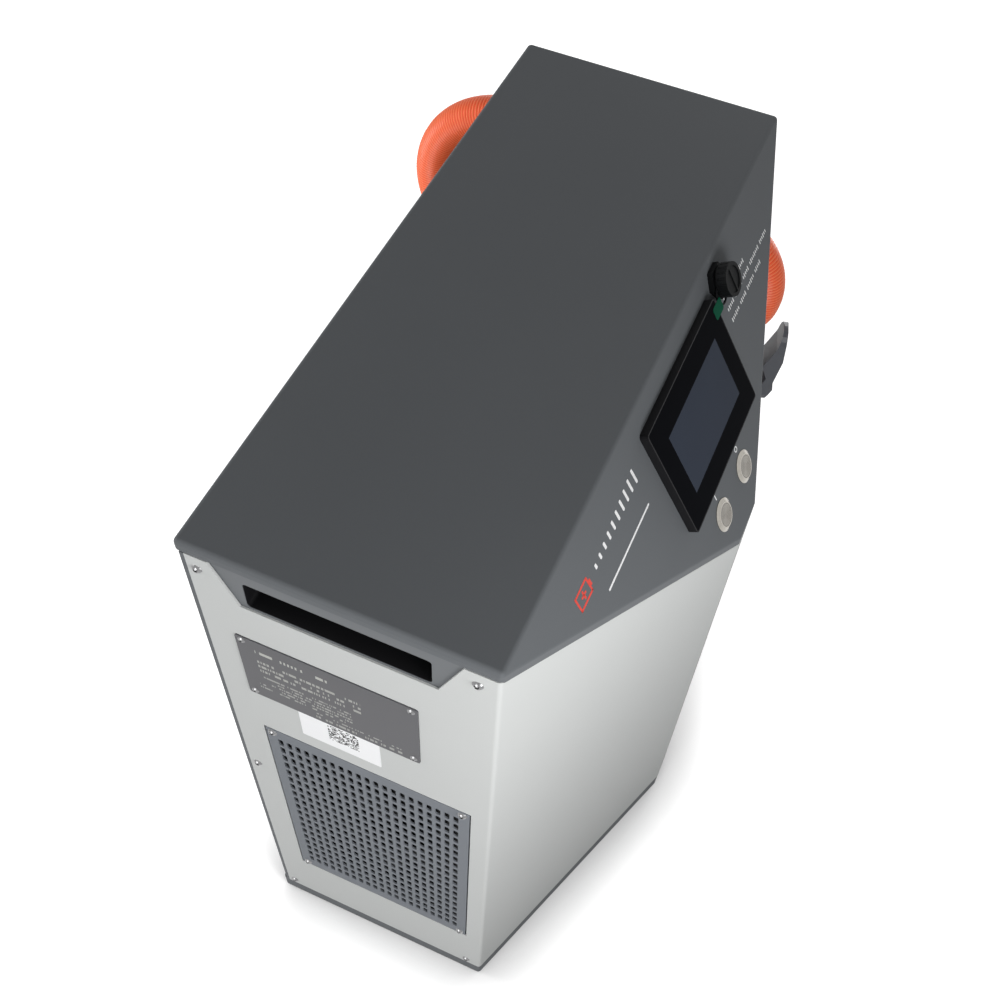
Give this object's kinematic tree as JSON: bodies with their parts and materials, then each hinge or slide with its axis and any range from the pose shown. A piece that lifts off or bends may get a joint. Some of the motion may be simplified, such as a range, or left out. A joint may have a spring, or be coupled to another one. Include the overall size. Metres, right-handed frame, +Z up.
{
  "type": "forklift battery charger",
  "caption": "Free-standing charger cabinet with a prow-shaped front, sloping control panel with touch screen and push buttons, air grilles, hand slots and a hung orange conduit with a plug.",
  "frame": {"origin": "on the floor, at the middle of the width and depth of the object without its conduit and plug; the width counts the cable hanger on the far end", "axes": "+Z up, -Y towards the prow and the control panel, -X towards the end with the nameplate, +X towards the end with the cable hanger"},
  "size_m": [0.7145, 0.4495, 0.675],
  "materials": {
    "dark_paint": "satin powder coat",
    "light_paint": "satin powder coat",
    "grille_paint": "satin powder coat",
    "zinc_steel": "zinc plated",
    "button_steel": "turned",
    "screw_steel": "bright",
    "nameplate_plastic": "matt",
    "label_white": "matt",
    "black_plastic": "matt",
    "screen_black": "gloss",
    "display": "gloss",
    "film_green": "gloss",
    "conduit_orange": "satin",
    "pocket_grey": "matt",
    "black_paint": "matt powder coat",
    "plug_grey": "matt",
    "copper": "bright",
    "fuse_ceramic": "glazed",
    "board_green": "satin",
    "foot_rubber": "matt"
  },
  "bodies": {
    "cabinet": {"base_tray": "dark_paint", "foot_pads": "foot_rubber", "chassis_shell": "dark_paint", "front_wrap": "light_paint", "front_rail": "dark_paint", "top_cover": "dark_paint", "wrap_screws": "screw_steel", "intake_grille": "grille_paint", "exhaust_grille": "grille_paint", "grille_screws": "screw_steel", "hand_pocket_left": "pocket_grey", "hand_pocket_right": "pocket_grey", "nameplate": "nameplate_plastic", "nameplate_rivets": "screw_steel", "paper_label": "label_white", "screen_housing": "screen_black", "screen_glass": "screen_black", "display_panel": "display", "film_tab": "film_green", "start_button_body": "button_steel", "stop_button_body": "button_steel", "button_nuts": "zinc_steel", "socket_body": "black_plastic", "socket_nut": "black_plastic", "cap_tether": "black_plastic", "cable_hanger": "dark_paint", "hanger_screws": "screw_steel", "conduit_elbow": "black_plastic", "mains_gland": "black_plastic", "conduit_lead": "conduit_orange", "conduit_hank": "conduit_orange", "conduit_tail": "conduit_orange", "plug_collar": "black_plastic", "plug_shell": "plug_grey", "plug_contacts": "copper", "fan_plate": "black_paint", "upper_fan_frame": "black_plastic", "lower_fan_frame": "black_plastic", "module_rack": "zinc_steel", "lower_power_module": "zinc_steel", "middle_power_module": "zinc_steel", "upper_power_module": "zinc_steel", "mounting_plate": "zinc_steel", "mains_contactor": "black_plastic", "line_filter": "zinc_steel", "output_contactor": "black_plastic", "output_fuse": "fuse_ceramic", "terminal_block": "black_plastic", "output_busbars": "copper", "control_board": "board_green", "board_standoffs": "zinc_steel"},
    "start_button": {"start_button_cap": "button_steel"},
    "stop_button": {"stop_button_cap": "button_steel"},
    "dust_cap": {"socket_cap": "black_plastic"},
    "upper_rotor": {"upper_fan_rotor": "black_plastic"},
    "lower_rotor": {"lower_fan_rotor": "black_plastic"}
  },
  "joints": [
    {"name": "start_button_press", "type": "slide", "parent": "cabinet", "child": "start_button", "axis": [0, 0.858, -0.5137], "range_m": [0, 0.0025], "stiffness_N_per_m": 800, "springref_m": -0.001},
    {"name": "stop_button_press", "type": "slide", "parent": "cabinet", "child": "stop_button", "axis": [0, 0.858, -0.5137], "range_m": [0, 0.0025], "stiffness_N_per_m": 800, "springref_m": -0.001},
    {"name": "dust_cap_turn", "type": "hinge", "parent": "cabinet", "child": "dust_cap", "pos_m": [0.0323, -0.08289, 0.65952], "axis": [0, -0.858, 0.5137], "range_deg": [0, 90]},
    {"name": "upper_fan_spin", "type": "hinge", "parent": "cabinet", "child": "upper_rotor", "pos_m": [-0.331, 0.04, 0.334], "axis": [1, 0, 0], "continuous": true},
    {"name": "lower_fan_spin", "type": "hinge", "parent": "cabinet", "child": "lower_rotor", "pos_m": [-0.331, 0.04, 0.208], "axis": [1, 0, 0], "continuous": true}
  ]
}
